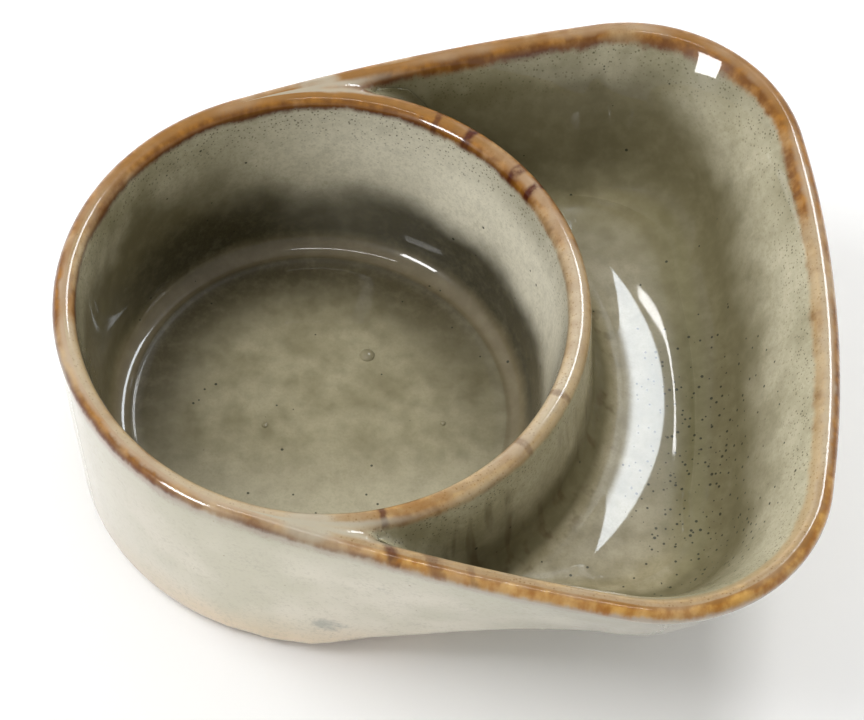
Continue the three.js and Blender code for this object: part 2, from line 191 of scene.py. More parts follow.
def inner_depth(distance, lean, flare, cove, floor):
    """Depth below the crest at a distance inside it: lip, wall that flares to the lip, cove, floor."""
    top = lean + flare
    lip_end = LIP * np.cos(top)
    lip_drop = LIP * (1 - np.sin(top))
    spread = (1 / np.tan(lean) - 1 / np.tan(top)) * FLARE_REACH / 3
    cove = np.clip(floor - lip_drop, 0, cove)
    cove_end = lip_end + (cove + (floor - cove - lip_drop + spread) * np.sin(lean)) / np.cos(lean)
    cove_start = cove_end - cove * np.cos(lean)
    past = distance - lip_end
    lip = np.minimum(LIP - np.sqrt(np.clip(LIP ** 2 - distance ** 2, 0, None)), floor)
    flared = spread * np.clip(1 - past / FLARE_REACH, 0, 1) ** 3
    wall = lip_drop - spread + past / np.tan(lean) + flared
    hollow = floor - cove + np.sqrt(np.clip(cove ** 2 - (cove_end - distance) ** 2, 0, None))
    cases = [distance <= 0, distance < lip_end, distance < cove_start, distance < cove_end]
    return np.select(cases, [0 * distance, lip, wall, hollow], floor), cove_end


def outer_depth(distance, lean, belly, underside):
    """Depth below the crest at a distance inside the widest line: lip, wall, belly, underside."""
    lip_end = LIP * (1 - np.cos(lean))
    lip_drop = LIP * (1 + np.sin(lean))
    belly_end = lip_end + (belly + (underside - belly - lip_drop) * np.sin(lean)) / np.cos(lean)
    lip = LIP + np.sqrt(np.clip(LIP ** 2 - (LIP - distance) ** 2, 0, None))
    wall = lip_drop + (distance - lip_end) / np.tan(lean)
    round_ = underside - belly + np.sqrt(np.clip(belly ** 2 - (belly_end - distance) ** 2, 0, None))
    cases = [distance < lip_end, distance < belly_end - belly * np.cos(lean), distance < belly_end]
    return np.select(cases, [lip, wall, round_], underside)


def tray_depth(to_bowl, to_tray, gap, blend):
    """Depth of the tray's inside from its distances to the two crests, rounded together.

    The floor falls as the gap between the two crests widens, which makes the webs. It is dished: it
    falls away from the bowl, and the tray's wall sweeps up from it in a wide cove.
    """
    opened = smoothstep(gap, WEB_START, WEB_END)
    floor = TRAY_DEPTH * opened
    flare = TRAY_FLARE * opened * blend
    near = np.clip(NOSE - np.abs(to_bowl - to_tray), 0, None) / NOSE
    distance = np.minimum(to_bowl, to_tray) - near ** 2 * NOSE / 4
    tray_share = np.where(to_bowl < to_tray, near ** 2 / 2, 1 - near ** 2 / 2)
    tray_lean = lerp(BOWL_LEAN, TRAY_INNER_LEAN, blend)
    lean = lerp(BOWL_LEAN, tray_lean, tray_share)
    cove = lerp(SEAM_COVE, TRAY_COVE, tray_share)
    steep, cove_end = inner_depth(distance, lean, flare * tray_share, cove, floor)
    dish = DISH * opened ** 2
    steep = steep + dish * (1 - np.exp(-np.clip(distance - cove_end, 0, None) / DISH_RUN))
    swept, _ = inner_depth(to_tray, tray_lean, flare, TRAY_SWEEP, floor + dish)
    shallow = np.minimum(steep, swept)
    ease = SWEEP_EASE * smoothstep(shallow, TRAY_DEPTH / 4, TRAY_DEPTH / 2) + LEAST_EASE
    close = np.clip(1 - np.abs(steep - swept) / ease, 0, None)
    return shallow - close ** 2 * ease / 4


def outside_depth(radius, from_edge, blend, lean):
    """Depth of the outside: the tray's wall, belly and underside, and the cove up to the bowl's wall."""
    foot = HEIGHT - FOOT_REVEAL
    underside = lerp(foot, HEIGHT - TRAY_UNDERSIDE, blend)
    tray = outer_depth(from_edge, lean, lerp(BASE_ROUND, TRAY_ROUND, blend), underside)
    cove = np.clip((foot - BASE_ROUND - underside) / 2, 0, UNDER_COVE)
    bowl = outer_depth(BOWL_RADIUS - radius, BOWL_LEAN, BASE_ROUND, foot)
    wall_radius = RIM_RADIUS + LIP / np.cos(BOWL_LEAN) - (underside - LIP) * np.tan(BOWL_LEAN)
    cove_end = wall_radius - cove * np.tan(BOWL_LEAN) + cove / np.cos(BOWL_LEAN)
    hollow = underside + cove - np.sqrt(np.clip(cove ** 2 - (cove_end - radius) ** 2, 0, None))
    in_cove = (cove > 0) & (radius >= cove_end - cove * np.cos(BOWL_LEAN)) & (radius <= cove_end)
    return np.maximum(tray, np.where(in_cove, hollow, bowl))


def lengths_along(line):
    step = np.diff(line, axis=0)
    return np.concatenate([[0], np.cumsum(np.hypot(step[:, 0], step[:, 1]))])


def row_shares(line, count):
    """Length shares of rows on a fine polyline, closer together where it bends."""
    step = np.diff(line, axis=0)
    turn = np.unwrap(np.arctan2(step[:, 1], step[:, 0]))
    bend = np.abs(np.diff(turn, prepend=turn[:1]))
    length = lengths_along(line)
    weight = np.concatenate([[0], np.cumsum(np.diff(length) + TURN_WEIGHT * bend)])
    return np.interp(np.linspace(0, weight[-1], count), weight, length) / length[-1]


def rows_at(line, shares):
    """Points of a fine polyline at length shares, and their lengths along it."""
    length = lengths_along(line)
    goal = shares * length[-1]
    return np.stack([np.interp(goal, length, line[:, k]) for k in range(2)], axis=1), goal


def even_out(shares, edge):
    """Row shares evened out between neighbouring columns, so that the rows run on smoothly."""
    for _ in range(EVEN_PASSES):
        wide = np.pad(shares, ((1, 1), (0, 0)), mode=edge)
        shares = (wide[:-2] + 2 * shares + wide[2:]) / 4
    return shares


def polar(turn, radius):
    return np.stack([radius * np.cos(turn), radius * np.sin(turn)], axis=-1)


def circle_meeting(a, from_a, b, from_b):
    """The point at the given distances from two centres, on the +Y side."""
    span = np.linalg.norm(b - a)
    along = (b - a) / span
    reach = (from_a ** 2 - from_b ** 2 + span ** 2) / (2 * span)
    rise = math.sqrt(from_a ** 2 - reach ** 2)
    side = np.array([-along[1], along[0]]) * math.copysign(rise, along[0])
    return a + along * reach + side


def half_crest():
    """The tray's crest from its end to the rear joint: points, normals and flank lengths from it."""
    flank = polar(JOINT_ANGLE, RIM_RADIUS - FLANK_RADIUS)
    end = np.array([TRAY_REACH - END_RADIUS, 0.0])
    corner = circle_meeting(flank, FLANK_RADIUS - CORNER_RADIUS, end, END_RADIUS - CORNER_RADIUS)
    flank_turn = math.atan2(*(corner - flank)[::-1])
    end_turn = math.atan2(*(corner - end)[::-1])
    last_turn = JOINT_ANGLE - FIRST_GAP / FLANK_RADIUS
    flank_length = FLANK_RADIUS * (JOINT_ANGLE - flank_turn)
    corner_length = CORNER_RADIUS * (flank_turn - end_turn)
    end_turns = np.linspace(0, end_turn, END_COLUMNS, endpoint=False)
    corner_turns = np.linspace(end_turn, flank_turn, CORNER_COLUMNS, endpoint=False)
    flank_turns = np.linspace(flank_turn, last_turn, FLANK_COLUMNS)
    arcs = [
        (end, END_RADIUS, end_turns, end_turn, flank_length + corner_length),
        (corner, CORNER_RADIUS, corner_turns, flank_turn, flank_length),
        (flank, FLANK_RADIUS, flank_turns, JOINT_ANGLE, 0),
    ]
    points, normals, done = [], [], []
    for centre, radius, turns, last, left in arcs:
        points.append(centre + polar(turns, radius))
        normals.append(polar(turns, 1))
        done.append((left + radius * (last - turns)) / flank_length)
    return np.concatenate(points), np.concatenate(normals), np.concatenate(done)


def rim_columns():
    """The outer crest all round: points, inward directions, and what each section follows."""
    point, normal, done = half_crest()
    mirror = np.array([1, -1])
    point = np.concatenate([point[:0:-1] * mirror, point])
    normal = np.concatenate([normal[:0:-1] * mirror, normal])
    done = np.concatenate([done[:0:-1], done])
    aim = np.arctan2(point[:, 1], point[:, 0]) * (1 - SECTION_TURN * np.minimum(done, 1) ** 2)
    run = polar(aim, RIM_RADIUS) - point
    length = np.linalg.norm(run, axis=1)
    inward = run / length[:, None]
    blend = smoothstep(done, BLEND_START, BLEND_END) * smoothstep(done, 0, JOINT_EASE)
    offset = np.linalg.norm(point, axis=1) - RIM_RADIUS
    to_base = np.arctan(math.tan(BOWL_LEAN) + offset / BASE_DROP) * (1 - smoothstep(done, *BASE_HOLD))
    lean = np.maximum(lerp(BOWL_LEAN, TRAY_OUTER_LEAN, blend), to_base)
    back = np.linspace(JOINT_ANGLE, 2 * math.pi - JOINT_ANGLE, BACK_COLUMNS)
    still = np.zeros(BACK_COLUMNS)
    return {
        "point": np.concatenate([point, polar(back, RIM_RADIUS)]),
        "inward": np.concatenate([inward, -polar(back, 1)]),
        "square": np.concatenate([-(inward * normal).sum(1), still + 1]),
        "blend": np.concatenate([blend, still]),
        "lean": np.concatenate([lean, still + BOWL_LEAN]),
        "length": np.concatenate([length, still]),
        "aim": np.concatenate([aim, back]),
    }


def well_profile():
    """The soup well from the middle of its floor to the rim's crest, as radius and height."""
    across = np.linspace(MIDDLE_GAP, SOUP_EDGE, FLOOR_SAMPLES, endpoint=False)
    hollow = np.linspace(-math.pi / 2, -SOUP_LEAN, ROUND_SAMPLES)
    crest = np.linspace(math.pi - SOUP_LEAN, math.pi / 2, ROUND_SAMPLES)
    line = np.concatenate([
        np.stack([across, np.full(FLOOR_SAMPLES, SOUP_LEVEL)], axis=1),
        polar(hollow, SOUP_COVE) + [SOUP_EDGE, COVE_LEVEL],
        polar(crest, LIP) + [RIM_RADIUS, LIP_LEVEL],
    ])
    from_edge = (line[:, 0] - SOUP_EDGE) / RIDGE_WIDTH
    line[:, 1] += RIDGE * np.exp(-from_edge ** 2) * (line[:, 1] < COVE_LEVEL)
    return line


def tray_line(column):
    """The tray's inside at a column from the bowl's crest to the tray's, as distance and height."""
    over = np.linspace(column["length"], 0, TRAY_SAMPLES)
    radius = np.linalg.norm(column["point"] + over[:, None] * column["inward"], axis=1)
    to_tray = over * column["square"]
    depth = tray_depth(radius - RIM_RADIUS, to_tray, column["length"], column["blend"])
    return np.stack([over, HEIGHT - depth], axis=1)


def web_share(column, over):
    """1 midway between the two crests where they meet, 0 on a crest and where the tray is open."""
    across = 1 - np.abs(2 * over / column["length"] - 1)
    return across * (1 - smoothstep(column["length"], WEB_PALE, WEB_END))


def outside_line(column):
    """The outside at a column from the crest to the foot ring, as distance and height."""
    edge = -LIP / column["square"]
    reach = FOOT_RADIUS + FOOT_GAP
    along = -column["point"] @ column["inward"]
    inside = along - math.sqrt(reach ** 2 - column["point"] @ column["point"] + along ** 2)
    quarter = np.linspace(math.pi / 2, 0, LIP_SAMPLES, endpoint=False)
    lip = np.stack([edge * np.cos(quarter), LIP_LEVEL + LIP * np.sin(quarter)], axis=1)
    below = np.linspace(edge, inside, OUTSIDE_SAMPLES)
    radius = np.linalg.norm(column["point"] + below[:, None] * column["inward"], axis=1)
    depth = outside_depth(radius, below * column["square"] + LIP, column["blend"], column["lean"])
    return np.concatenate([lip, np.stack([below, HEIGHT - depth], axis=1)])


def place_rows(column, rows):
    """Rows of distance and height as points in a column's section."""
    return np.column_stack([column["point"] + rows[:, :1] * column["inward"], rows[:, 1]])


def recess_points(edge):
    """The heel outside the foot ring and the roof above it, from the outside's last point."""
    spoke = edge[:2] / np.linalg.norm(edge[:2])
    reach = FOOT_RADIUS + CLEARANCE
    heel = np.column_stack([np.outer([reach] * 2, spoke), [FOOT_REVEAL, FOOT_HEIGHT]])
    inner = np.linspace(reach, MIDDLE_GAP, RECESS_ROWS)[1:]
    roof = np.column_stack([np.outer(inner, spoke), np.full(len(inner), FOOT_HEIGHT)])
    return np.concatenate([heel, roof])


def set_values(mesh, key, values):
    """A value for each point of a mesh, as an attribute."""
    mesh.attributes.new(key, "FLOAT", "POINT").data.foreach_set("value", values)


class Skin:
    """Points of the glazed skin with their attributes, numbered as they are added."""

    def __init__(self):
        self.points = []
        self.values = {"rim": [], "inside": [], "web": []}
        self.total = 0

    def keep(self, place, **values):
        """Adds points and gives their numbers."""
        count = len(place)
        self.points.append(place)
        for key, stored in self.values.items():
            stored.append(np.broadcast_to(values.get(key, 0.0), count))
        self.total += count
        return np.arange(self.total - count, self.total)

    def mesh(self, name, grid):
        """Faces between neighbouring columns, with the attributes on their points."""
        after = np.roll(grid, -1, axis=0)
        quads = np.stack([grid[:, :-1], grid[:, 1:], after[:, 1:], after[:, :-1]], axis=-1)
        loops = [list(dict.fromkeys(quad)) for quad in quads.reshape(-1, 4).tolist()]
        place = np.concatenate(self.points) * [SKIN_SCALE, SKIN_SCALE, 1] + [BOWL_X, 0, 0]
        mesh = bpy.data.meshes.new(name)
        mesh.from_pydata((place * MM).tolist(), [], [loop for loop in loops if len(loop) > 2])
        mesh.update()
        for key, stored in self.values.items():
            set_values(mesh, key, np.concatenate(stored).astype(np.float32))
        return mesh


def skin_mesh(name):
    """One closed glazed skin: soup well, tray, outside and the recess above the foot ring."""
    together = rim_columns()
    count = len(together["aim"])
    columns = [{key: value[i] for key, value in together.items()} for i in range(count)]
    skin = Skin()
    middle = skin.keep(np.array([[0, 0, SOUP_LEVEL]]), rim=HEIGHT, inside=1.0)
    well_line = well_profile()
    well, well_length = rows_at(well_line, row_shares(well_line, WELL_ROWS))
    tray_lines = [tray_line(column) for column in columns if column["length"] > 0]
    tray_shares = np.array([row_shares(line, TRAY_ROWS + 1) for line in tray_lines])
    tray_shares = even_out(tray_shares, "edge")
    outside_lines = [outside_line(column) for column in columns]
    outside_shares = np.array([row_shares(line, OUTSIDE_ROWS + 1) for line in outside_lines])
    outside_shares = even_out(outside_shares, "wrap")
    grid = []
    for i, column in enumerate(columns):
        ring = np.column_stack([well[:, :1] * polar(column["aim"], 1.0), well[:, 1]])
        index = [middle, skin.keep(ring, rim=well_length[-1] - well_length, inside=1.0)]
        if i < len(tray_lines):
            rows, length = rows_at(tray_lines[i], tray_shares[i])
            near = np.minimum(length, length[-1] - length)[1:]
            web = web_share(column, rows[1:, 0])
            index.append(skin.keep(place_rows(column, rows[1:]), rim=near, inside=1.0, web=web))
        else:
            index.append(np.full(TRAY_ROWS, index[-1][-1]))
        rows, length = rows_at(outside_lines[i], outside_shares[i])
        index.append(skin.keep(place_rows(column, rows[1:]), rim=length[1:]))
        index.append(skin.keep(recess_points(skin.points[-1][-1]), rim=HEIGHT))
        grid.append(np.concatenate(index))
    under = skin.keep(np.array([[0, 0, FOOT_HEIGHT]]), rim=HEIGHT)
    return skin.mesh(name, np.column_stack([np.array(grid), np.full(count, under)]))


class Socket:
    """A node's output that takes part in Python expressions."""

    def __init__(self, tree, link):
        self.tree = tree
        self.link = link

    def math(self, operation, *others):
        inputs = dict(enumerate((self, *others)))
        return add_node(self.tree, "ShaderNodeMath", {"operation": operation}, inputs)

    def __add__(self, other):
        return self.math("ADD", other)

    def __sub__(self, other):
        return self.math("SUBTRACT", other)

    def __rsub__(self, other):
        return add_node(self.tree, "ShaderNodeMath", {"operation": "SUBTRACT"}, {0: other, 1: self})

    def __mul__(self, other):
        return self.math("MULTIPLY", other)

    def __truediv__(self, other):
        return self.math("DIVIDE", other)

    __radd__ = __add__
    __rmul__ = __mul__


def add_node(tree, kind, settings, inputs, output=0):
    """A node with its settings first, then the values or links of its sockets."""
    node = tree.nodes.new(kind)
    for key, value in settings.items():
        setattr(node, key, value)
    for key, value in inputs.items():
        if isinstance(value, Socket):
            tree.links.new(value.link, node.inputs[key])
        else:
            node.inputs[key].default_value = value
    return Socket(tree, node.outputs[output])


def add_piece(name, mesh, material, nodes):
    """A finished mesh as a piece of the object that stands for CAD nodes."""
    piece = bpy.data.objects.new(name, mesh)
    bpy.context.scene.collection.objects.link(piece)
    mesh.materials.clear()
    mesh.materials.append(material)
    mesh.polygons.foreach_set("use_smooth", np.ones(len(mesh.polygons), bool))
    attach(piece, "root")
    if nodes:
        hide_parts(*nodes)


class Plan:
    """A geometry node tree with named inputs, which makes a plain mesh from an object."""

    def __init__(self, name, **sizes):
        self.tree = bpy.data.node_groups.new(name, "GeometryNodeTree")
        self.sizes = sizes
        face = self.tree.interface
        face.new_socket("Geometry", in_out="INPUT", socket_type="NodeSocketGeometry")
        face.new_socket("Geometry", in_out="OUTPUT", socket_type="NodeSocketGeometry")
        self.keys = {}
        for key in sizes:
            socket = face.new_socket(key, in_out="INPUT", socket_type="NodeSocketFloat")
            self.keys[key] = socket.identifier
        self.start = self.tree.nodes.new("NodeGroupInput")
        self.end = self.tree.nodes.new("NodeGroupOutput")

    def size(self, key):
        return Socket(self.tree, self.start.outputs[key])

    def add(self, kind, settings=None, **inputs):
        """A node whose inputs are named with an underscore for each space."""
        inputs = {key.replace("_", " "): value for key, value in inputs.items()}
        return add_node(self.tree, kind, settings or {}, inputs)

    def mesh(self, name, source, geometry, material):
        """Ends the tree, runs it on a source mesh and gives the plain result."""
        whole = self.add("GeometryNodeRealizeInstances", Geometry=geometry)
        done = self.add("GeometryNodeSetMaterial", Geometry=whole, Material=material)
        self.tree.links.new(done.link, self.end.inputs[0])
        maker = bpy.data.objects.new(name, source)
        bpy.context.scene.collection.objects.link(maker)
        modifier = maker.modifiers.new(name, "NODES")
        modifier.node_group = self.tree
        for key, value in self.sizes.items():
            modifier[self.keys[key]] = value
        graph = bpy.context.evaluated_depsgraph_get()
        mesh = bpy.data.meshes.new_from_object(maker.evaluated_get(graph), depsgraph=graph)
        mesh.name = name
        bpy.data.objects.remove(maker)
        return mesh


def foot_ring_mesh(name, material):
    """The foot ring, swept round the bowl's axis from a rounded bar."""
    plan = Plan("turned_foot_ring", middle=(FOOT_RADIUS - FOOT_WIDTH / 2) * MM, width=FOOT_WIDTH * MM,
                height=(FOOT_HEIGHT - CLEARANCE) * MM, edge=FOOT_ROUND * MM)
    circle = plan.add("GeometryNodeCurvePrimitiveCircle", Resolution=RING_STEPS,
                      Radius=plan.size("middle"))
    bar = plan.add("GeometryNodeCurvePrimitiveQuadrilateral", Width=plan.size("width"),
                   Height=plan.size("height"))
    bar = plan.add("GeometryNodeFilletCurve", Curve=bar, Radius=plan.size("edge"))
    ring = plan.add("GeometryNodeCurveToMesh", Curve=circle, Profile_Curve=bar)
    rise = plan.add("ShaderNodeCombineXYZ", X=BOWL_X * MM, Z=plan.size("height") / 2)
    ring = plan.add("GeometryNodeSetPosition", Geometry=ring, Offset=rise)
    return plan.mesh(name, bpy.data.meshes.new(name), ring, material)


def bead_mesh(name, material):
    """Small beads of glaze on the soup floor."""
    source = bpy.data.meshes.new(name)
    source.from_pydata([(a * MM, b * MM, SOUP_LEVEL * MM) for a, b, size in BEADS], [], [])
    set_values(source, "share", [size for a, b, size in BEADS])
    plan = Plan("glaze_beads", reach=BEAD_REACH * MM, rise=BEAD_RISE * MM, sink=BEAD_SINK * MM)
    ball = plan.add("GeometryNodeMeshUVSphere", Segments=BEAD_SEGMENTS, Rings=BEAD_RINGS, Radius=1.0)
    reach = plan.size("reach")
    shape = plan.add("ShaderNodeCombineXYZ", X=reach, Y=reach, Z=plan.size("rise"))
    drop = plan.add("ShaderNodeCombineXYZ", Z=plan.size("sink") * -1.0)
    ball = plan.add("GeometryNodeTransform", Geometry=ball, Translation=drop, Scale=shape)
    share = plan.add("GeometryNodeInputNamedAttribute", {"data_type": "FLOAT"}, Name="share")
    spots = plan.add("GeometryNodeMeshToPoints", Mesh=plan.size("Geometry"))
    beads = plan.add("GeometryNodeInstanceOnPoints", Points=spots, Instance=ball, Scale=share)
    mesh = plan.mesh(name, source, beads, material)
    for key, value in (("rim", HEIGHT), ("inside", 1.0), ("web", 0.0)):
        set_values(mesh, key, np.full(len(mesh.vertices), value, np.float32))
    return mesh


def tint(red, green, blue):
    """A colour as it shows on a screen, 0 to 255, as linear light."""
    shares = [c / 255 for c in (red, green, blue)]
    return tuple(c / 12.92 if c < 0.04045 else ((c + 0.055) / 1.055) ** 2.4 for c in shares) + (1.0,)


def ramp(value, low, high):
    """Smoothly 0 to 1 between two values, or 1 to 0 where the first is the larger."""
    return add_node(value.tree, "ShaderNodeMapRange", {"interpolation_type": "SMOOTHSTEP"},
                    {0: value, 1: low, 2: high, 3: 0.0, 4: 1.0})


def blend(share, below, above):
    """One colour going over into another."""
    inputs = {0: share, 6: below, 7: above}
    return add_node(share.tree, "ShaderNodeMix", {"data_type": "RGBA"}, inputs, 2)


def most(first, second):
    return first.math("MAXIMUM", second)


def attribute(tree, name):
    return add_node(tree, "ShaderNodeAttribute", {"attribute_name": name}, {}, 2)


def times(vector, shares):
    inputs = {0: vector, 1: shares}
    return add_node(vector.tree, "ShaderNodeVectorMath", {"operation": "MULTIPLY"}, inputs)


def millimetres(tree):
    """Object coordinates in millimetres."""
    return times(add_node(tree, "ShaderNodeTexCoord", {}, {}, "Object"), (1 / MM,) * 3)


def split(vector):
    return [add_node(vector.tree, "ShaderNodeSeparateXYZ", {}, {0: vector}, k) for k in range(3)]


def distance_from_axis(east, north):
    return (east * east + north * north).math("SQRT")


def cloud(place, size, detail=2.0, stretch=(1, 1, 1)):
    """Soft noise about zero with features of a size in millimetres."""
    squeezed = times(place, tuple(1 / (size * k) for k in stretch))
    inputs = {"Vector": squeezed, "Scale": 1.0, "Detail": detail}
    return add_node(place.tree, "ShaderNodeTexNoise", {}, inputs) - 0.5


def specks(place, cell, share, smallest, largest):
    """Round specks in a share of the cells of a size in millimetres, with radii between two sizes."""
    inputs = {"Vector": place, "Scale": 1 / cell}
    far = add_node(place.tree, "ShaderNodeTexVoronoi", {}, inputs) * cell
    chance = split(add_node(place.tree, "ShaderNodeTexVoronoi", {}, inputs, 1))
    radius = chance[1] * (largest - smallest) + smallest
    return ramp(far - radius, 0.12, -0.06) * (share - chance[0]).math("GREATER_THAN", 0.0)


def near_angle(angle, radius, degrees, width):
    """1 at an angle about the bowl's axis, down to 0 a width in millimetres away."""
    return ramp((angle - math.radians(degrees)).math("ABSOLUTE") * radius, width, 0.25 * width)


def near_place(place, spot, reach):
    """1 at a place, down to 0 at a reach in millimetres from it."""
    inputs = {0: place, 1: spot}
    away = add_node(place.tree, "ShaderNodeVectorMath", {"operation": "DISTANCE"}, inputs, "Value")
    return ramp(away, reach, 0.35 * reach)


def start_material(name):
    material = bpy.data.materials.new(name)
    material.use_nodes = True
    return material, material.node_tree, material.node_tree.nodes["Principled BSDF"]


def finish_shader(tree, shader, colour, roughness, height, rise):
    """Links the colour, the roughness and a bump of a height in millimetres."""
    tree.links.new(colour.link, shader.inputs["Base Color"])
    tree.links.new(roughness.link, shader.inputs["Roughness"])
    inputs = {"Strength": 1.0, "Distance": rise * MM, "Height": height}
    tree.links.new(add_node(tree, "ShaderNodeBump", {}, inputs).link, shader.inputs["Normal"])


class GlazeGround:
    """What the glaze follows: places in millimetres, the skin's attributes, and clouds of many sizes."""

    def __init__(self, tree):
        self.place = millimetres(tree)
        self.x, self.y, self.z = split(self.place)
        self.rim = attribute(tree, "rim")
        self.inside = attribute(tree, "inside")
        self.web = attribute(tree, "web")
        self.east = self.x - BOWL_X
        self.radius = distance_from_axis(self.east, self.y)
        self.angle = self.y.math("ARCTAN2", self.east)
        self.tray = ramp(self.radius, RIM_RADIUS - 0.5, RIM_RADIUS + 0.5)
        self.well = 1 - self.tray
        self.down = (HEIGHT - self.z) / (self.tray * (TRAY_DEPTH - SOUP_DEPTH) + SOUP_DEPTH)
        self.drift = cloud(self.place, 34)
        self.wash = cloud(self.place, 17, 4.0)
        self.mottle = cloud(self.place, 7, 4.0)
        self.grain = cloud(self.place, 1.3, 3.0)
        self.run = cloud(self.place, 3.0, 3.0, (1, 1, 5))
        self.fibre = cloud(self.place, 0.8, 2.0, (1, 1, 6))
        self.fine = cloud(self.place, 0.6, 2.0)


def wall_colour(at):
    """Inside walls: pale below the rims and dark olive lower down, part thin and pooled glaze, part
    painted shade; painted light makes the pale reach further down and paler on the lit sides.
    """
    lit_side = ramp(at.east * 0.87 + at.y * 0.5, -22, 60)
    # The tray's front and right walls, where painted light lets the pale reach further down; the tray's
    # rear wall keeps a short reach as painted shade.
    tray_lit_side = most(ramp(at.y, 72, 10), ramp(at.x, 44, 78))
    # Painted light and shade: how far down the pale reaches.
    reach = (lit_side * 40 + 13) * at.well + (tray_lit_side * 10.5 + 9) * at.tray
    level = (at.rim + at.drift * 10 + at.wash * 13 + at.mottle * 9) / reach
    pale = blend(ramp(at.wash + at.grain * 0.5, -0.2, 0.25), tint(202, 195, 168), tint(180, 174, 144))
    # Painted light: a paler tone on the well's lit side.
    pale = blend(lit_side * at.well * 0.9, pale, tint(242, 237, 218))
    # Painted light: a paler tone on the tray's right-hand walls.
    pale = blend(ramp(at.x, 60, 96) * at.tray * 0.45, pale, tint(226, 219, 196))
    dark = blend(at.tray, tint(94, 87, 62), tint(104, 97, 72))
    wall = blend(ramp(level, 0.2, 2.0), pale, dark)
    # Darker foot of the well's walls at the right and the rear: part glaze pooling, part painted shade.
    pool_and_shade_side = most(lit_side, ramp(at.y, 10, 45) * 0.78)
    foot_pool_and_shade = ramp(at.rim + at.wash * 12, 29, 42) * pool_and_shade_side * at.well
    return blend(foot_pool_and_shade * 0.95, wall, tint(40, 35, 20))


def floor_colour(at):
    """Inside floors: the soup floor darkest along its rear edge, part pooled glaze and part painted
    shade, and paler at the front as painted light; the tray's palest beside the bowl and darker at the
    rear as painted shade.
    """
    patches = ramp(at.drift * 0.3 + at.wash * 0.5 + at.mottle * 0.9, -0.25, 0.22)
    soup_floor = blend(patches, tint(118, 111, 86), tint(142, 135, 110))
    # Darker along the soup floor's edge, most at the rear and the left: part glaze pooling, part painted
    # shade.
    edge_pool_and_shade = ramp(at.radius + at.wash * 8, 27, 48) * ramp(at.y - at.east * 0.3, -30, 32)
    soup_floor = blend(edge_pool_and_shade * 0.9, soup_floor, tint(60, 52, 34))
    # Painted light: the soup floor paler towards the front.
    soup_floor = blend(ramp(at.y + at.wash * 14, -6, -36) * 0.7, soup_floor, tint(174, 167, 144))
    tray_floor = blend(patches, tint(142, 132, 102), tint(172, 162, 134))
    tray_floor = blend(ramp(at.x + at.wash * 14, 50, 68), tray_floor, tint(112, 106, 76))
    # Painted shade: the tray floor darker towards the rear.
    tray_floor = blend(ramp(at.y + at.wash * 16, 22, 58) * 0.75, tray_floor, tint(102, 95, 66))
    return blend(at.tray, soup_floor, tray_floor)


def olive_colour(at):
    """The inside: walls, floors, a painted reflection in the soup floor's cove, runs on the bowl's side,
    veils and specks.
    """
    olive = blend(ramp(at.down, 0.95, 1.0), wall_colour(at), floor_colour(at))
    # Painted reflection: a paler band in the soup floor's cove.
    low = ramp(at.z + at.mottle * 3, SOUP_LEVEL + 5, SOUP_LEVEL + 1)
    cove = at.well * ramp(at.radius, SOUP_EDGE - 0.5, SOUP_EDGE + 0.9) * low
    olive = blend(cove * 0.7, olive, tint(118, 106, 82))
    ripple = cloud(at.place, 4.5, 2.0, (1, 1, 7))
    ripple_side = at.tray * ramp(at.radius, RIM_RADIUS + 17, RIM_RADIUS + 9) * ramp(at.down, 0.12, 0.35)
    olive = blend(ramp(ripple, 0.02, 0.2) * ripple_side * 0.55, olive, tint(74, 56, 32))
    veil = cloud(at.place, 4.0, 6.0) + at.grain * 0.3
    olive = blend(ramp(veil, -0.1, 0.35) * 0.2, olive, tint(146, 140, 112))
    olive = blend(ramp(veil, 0.1, -0.35) * 0.24, olive, tint(78, 73, 48))
    olive = blend(ramp(at.grain + at.fine, -0.2, 0.35) * 0.2, olive, tint(100, 96, 66))
    dusted = specks(at.place, 0.9, 0.75, 0.08, 0.28) * ramp(at.rim, 24, 7)
    olive = blend(dusted * 0.7, olive, tint(70, 66, 42))
    strewn = ramp(at.x + at.drift * 30 + at.wash * 16, 44, 62) * ramp(at.x, 92, 66) * at.tray
    strewn = strewn * ramp(at.y, 34, -20) * ramp(at.z, 62, 42)
    peppered = specks(at.place, 1.5, strewn * 0.75 + 0.02, 0.12, 0.42)
    return blend(peppered * 0.85, olive, tint(36, 40, 28))


def bone_colour(at):
    """Outside: bone with grey-green clouds, a warm base, painted shade towards the left, two smudges and
    a few specks.
    """
    bone = blend(ramp(at.drift + at.wash * 0.6, -0.18, 0.22), tint(214, 207, 189), tint(196, 191, 169))
    bone = blend(ramp(at.z + at.wash * 16, 22, 3) * 0.7, bone, tint(216, 192, 160))
    bone = blend(ramp(at.rim + at.wash * 10, 24, 5) * 0.6, bone, tint(176, 173, 148))
    # Painted shade: the outside darker towards the left.
    bone = blend(ramp(at.x, -50, -100) * 0.8, bone, tint(180, 174, 157))
    clouded = ramp(at.grain + at.fine + at.mottle * 0.5, -0.05, 0.4)
    bone = blend(clouded * 0.4, bone, tint(172, 164, 144))
    smudge = most(near_place(at.place, LOW_SMUDGE, 6.5), near_place(at.place, HIGH_SMUDGE, 4.0) * 0.7)
    smudge = ramp(smudge + at.mottle * 2.5 + at.grain, 0.4, 1.4)
    bone = blend(smudge * 0.6, bone, tint(138, 140, 134))
    return blend(specks(at.place, 2.6, 0.1, 0.1, 0.28) * 0.6, bone, tint(120, 98, 70))


